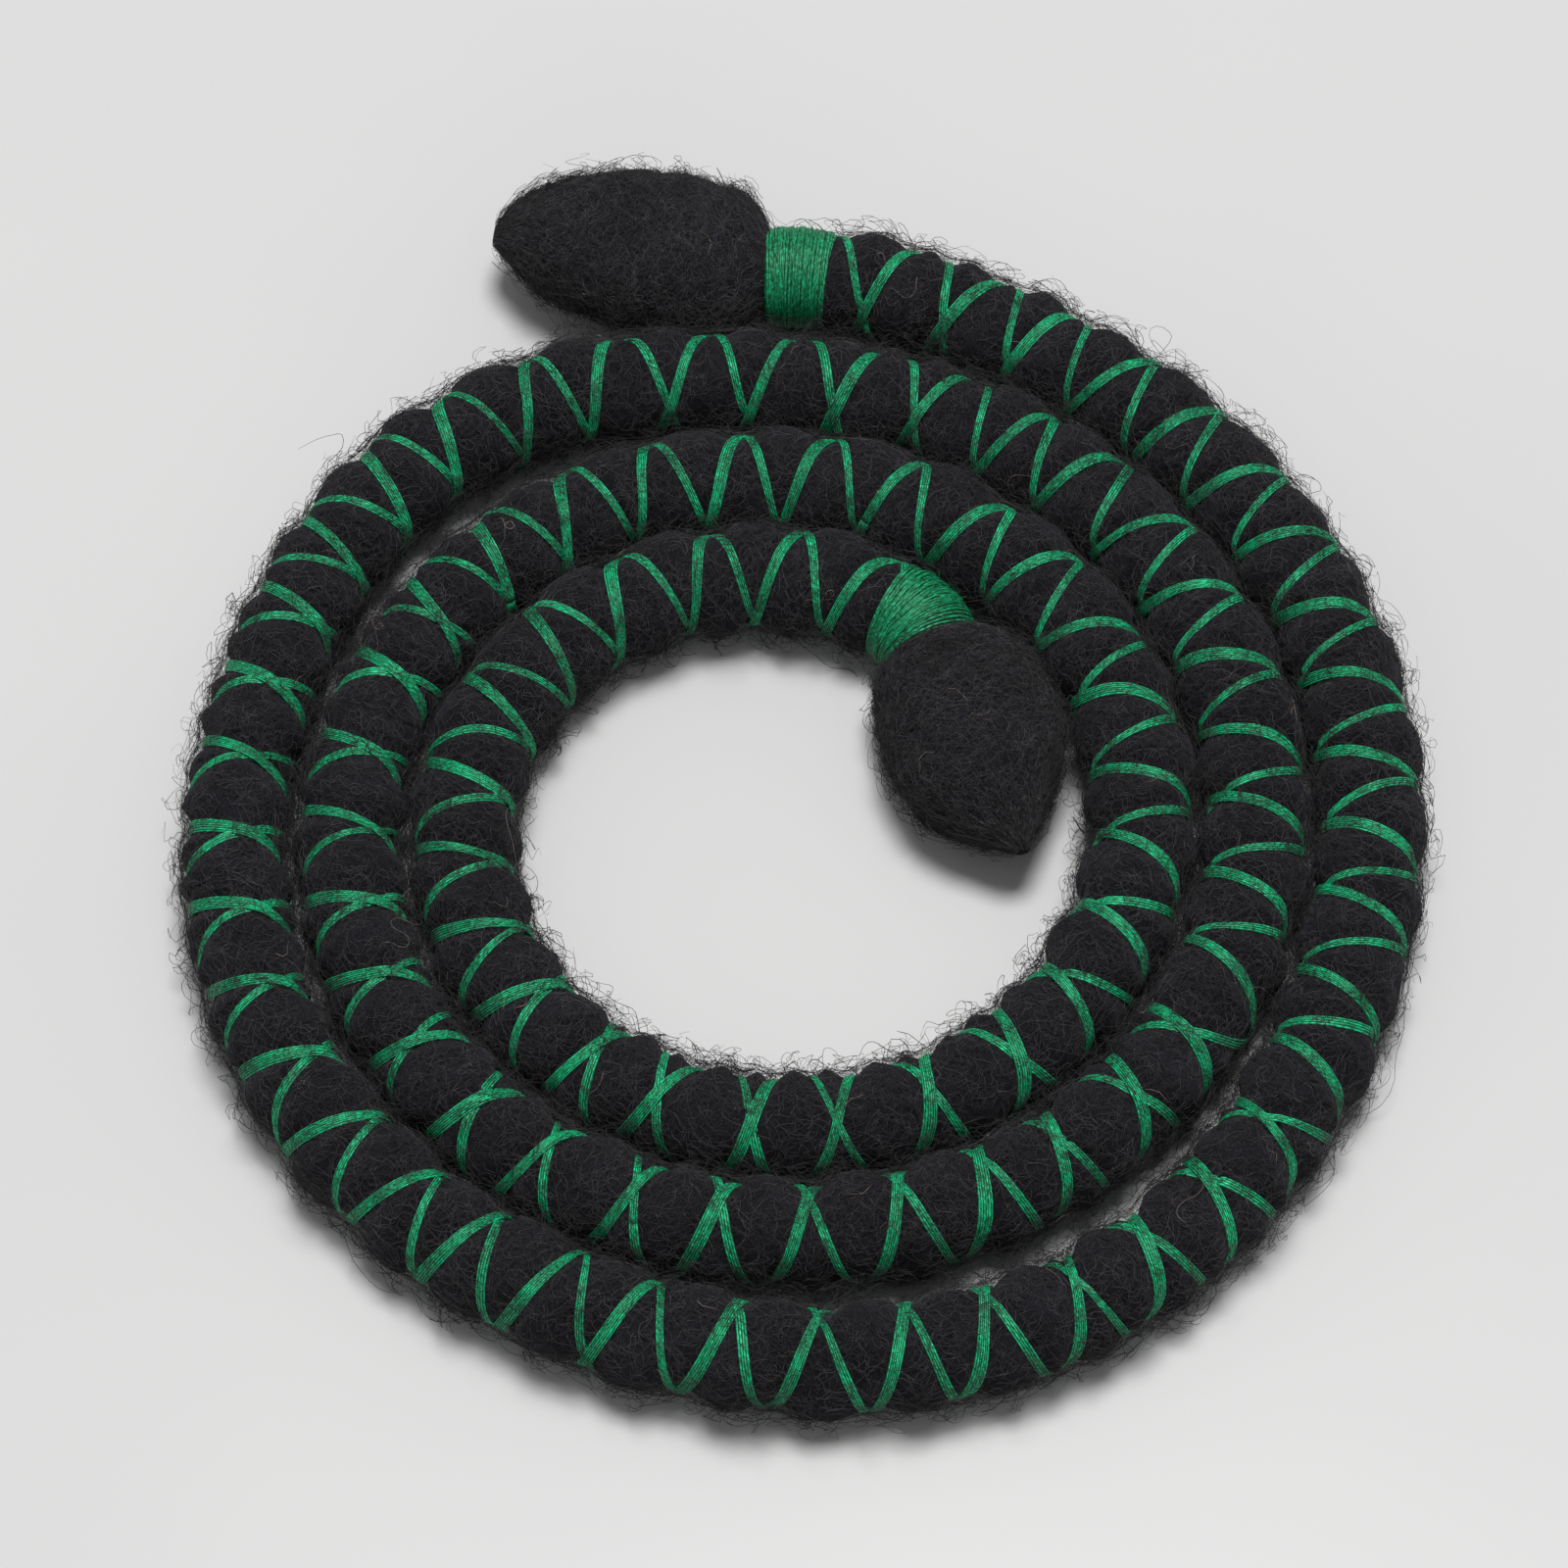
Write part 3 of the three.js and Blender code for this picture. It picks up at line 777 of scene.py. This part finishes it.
def bud_axes(at_outer_end):
    """Origin at the neck, then the sideways, upward and forward directions of a bud."""
    s, sign, turn = (0, -1, OUTER_BUD_TURN) if at_outer_end else (ROPE_LENGTH, 1, INNER_BUD_TURN)
    point, tangent, _ = rope_frame(s)
    heading = math.atan2(sign * tangent[1], sign * tangent[0]) - turn
    level = np.array([math.cos(heading), math.sin(heading), 0])
    side = np.array([-level[1], level[0], 0])
    forward = level * math.cos(BUD_TILT) + np.array([0, 0, math.sin(BUD_TILT)])
    return np.array([*point, ROPE_HEIGHT]), side, np.cross(forward, side), forward


def bud_surface(axes, outline, along, angle, out=0.0):
    """Points on a bud, at a distance along it and an angle round it from its left over its top."""
    origin, side, up, forward = axes
    knots, *sides = (np.array(outline) * MM).T
    fine = np.linspace(knots[0], knots[-1], 400)
    left, right = (np.interp(along, fine, smooth(np.interp(fine, knots, line), 4)) for line in sides)
    width = (left + right + (left - right) * np.cos(angle)) / 2
    bumps = wave_height(BUD_LUMPS, along, angle) * np.clip(width / (9 * MM), 0.15, 1)
    width = width + bumps + out
    flat = np.interp(along, (-1 * MM, 4 * MM), (1.0, BUD_FLATNESS))
    across = (width * np.cos(angle))[..., None]
    height = (width * flat * np.sin(angle))[..., None]
    points = origin + forward * along[..., None] + side * across + up * height
    points[..., 2] = np.maximum(points[..., 2], TABLE_GAP)
    return points


def make_bud(name, at_outer_end, outline, seed):
    axes = bud_axes(at_outer_end)
    length = outline[-1][0] * MM
    rows, columns = 90, 72
    along = np.linspace(-2.4 * MM, length, rows)[:, None]
    angle = np.linspace(0, 2 * PI, columns, endpoint=False)[None, :]
    along, angle = np.broadcast_arrays(along, angle)
    matting = wave_height(MATTING, along + seed, angle)
    points = bud_surface(axes, outline, along, angle, matting)
    quads, caps = tube_quads(rows, columns), tube_caps(rows, columns)
    bud = new_piece(name, points.reshape(-1, 3), quads, caps, [FELT])
    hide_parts(name)

    def place(share, around, x, y, height):
        from_neck = 0.2 * MM + (length - 0.6 * MM) * share + x
        from_neck = np.where(from_neck > length, 2 * length - from_neck, from_neck)
        root_angle = PI * (-0.25 + 1.5 * around)
        return bud_surface(axes, outline, from_neck, root_angle + y / (8 * MM), height)

    fuzz = make_fibres(f"fuzz_{name}", seed, BUD_KINDS, BUD_FIBRES, place)
    for piece in (bud, fuzz):
        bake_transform(piece)


# ---------------------------------------------------------------- stage, light and camera

def add_floor():
    """A pale, slightly glossy surface, large enough to fill every view."""
    half = 3.0
    points = np.array([(-half, -half, 0), (half, -half, 0), (half, half, 0), (-half, half, 0)], float)
    floor = new_piece("floor", points, np.array([[0, 1, 2, 3]]), [], [FLOOR])


def floor_material():
    n = Nodes("pale_floor")
    mottle = n.noise(n.place(), 6, 3)
    n.link(n.ramp(mottle, (0.3, (0.475, 0.475, 0.475)), (0.7, (0.50, 0.50, 0.497))), n.shader.inputs["Base Color"])
    n.constants(Roughness=0.22, Specular_IOR_Level=0.07)
    return n.material


def add_area_light(name, location, size, power, target=(0, 0, 0)):
    data = bpy.data.lights.new(name, "AREA")
    data.shape = "DISK"
    data.size = size
    data.energy = power
    light = bpy.data.objects.new(name, data)
    light.location = location
    aim = Vector(target) - Vector(location)
    light.rotation_euler = aim.to_track_quat("-Z", "Y").to_euler()
    bpy.context.scene.collection.objects.link(light)


def add_camera():
    data = bpy.data.cameras.new("camera")
    data.lens = VIEW_LENS
    data.sensor_width = 36
    camera = bpy.data.objects.new("camera", data)
    target = Vector((*(COIL_CENTRE + VIEW_TARGET_FROM_COIL_CENTRE), 0))
    back = Vector((0, -math.cos(VIEW_ELEVATION), math.sin(VIEW_ELEVATION)))
    camera.location = target + back * VIEW_DISTANCE
    camera.rotation_euler = (-back).to_track_quat("-Z", "Y").to_euler()
    bpy.context.scene.collection.objects.link(camera)
    bpy.context.scene.camera = camera


def set_world():
    world = bpy.data.worlds.new("soft_studio")
    world.use_nodes = True
    background = world.node_tree.nodes["Background"]
    background.inputs["Color"].default_value = (1.0, 1.0, 1.0, 1)
    background.inputs["Strength"].default_value = 0.36
    bpy.context.scene.world = world


FLOOR = floor_material()
add_camera()
add_floor()
set_world()
bpy.context.scene.view_settings.view_transform = "Standard"
add_area_light("overhead", (0.10, 0.40, 2.40), 0.90, 70)


# ---------------------------------------------------------------- the tie

BOUNDS_S = [0.6 * MM, *MIDDLE_S, ROPE_LENGTH - 0.6 * MM]
FLOSS_TUCK = NECK_LENGTH - 2.0 * MM

for index, (start, end) in enumerate(zip(BOUNDS_S, BOUNDS_S[1:])):
    felt = make_felt(index, start, end)
    floss_start = max(start, FLOSS_TUCK)
    floss_end = min(end, ROPE_LENGTH - FLOSS_TUCK)
    wide = make_band(f"floss_wide_{index:02d}", WIDE, wide_angle, floss_start, floss_end, True)
    thin = make_band(f"floss_thin_{index:02d}", THIN, thin_angle, floss_start, floss_end, False)
    fuzz = make_fuzz(index, max(start, NECK_LENGTH), min(end, ROPE_LENGTH - NECK_LENGTH))
    for piece in (felt, wide, thin, fuzz):
        attach_stretch(piece, index)
    if index < LINK_COUNT:
        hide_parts(f"felt_rope_{index + 1:02d}")
        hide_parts(f"floss_wrap_{index + 1:02d}")

outer_whipping = (0.3 * MM, NECK_LENGTH - 0.2 * MM)
inner_whipping = (ROPE_LENGTH - outer_whipping[1], ROPE_LENGTH - outer_whipping[0])
make_whipping("whipping_outer", *outer_whipping, BODIES[0], 21)
make_whipping("whipping_inner", *inner_whipping, BODIES[-1], 22)
make_bud("bud_outer", True, OUTER_BUD_OUTLINE, 31)
make_bud("bud_inner", False, INNER_BUD_OUTLINE, 32)

for node in frame["nodes"]:
    if node.startswith("wire"):
        for material_slot in bpy.data.objects[node].material_slots:
            material_slot.material = WIRE
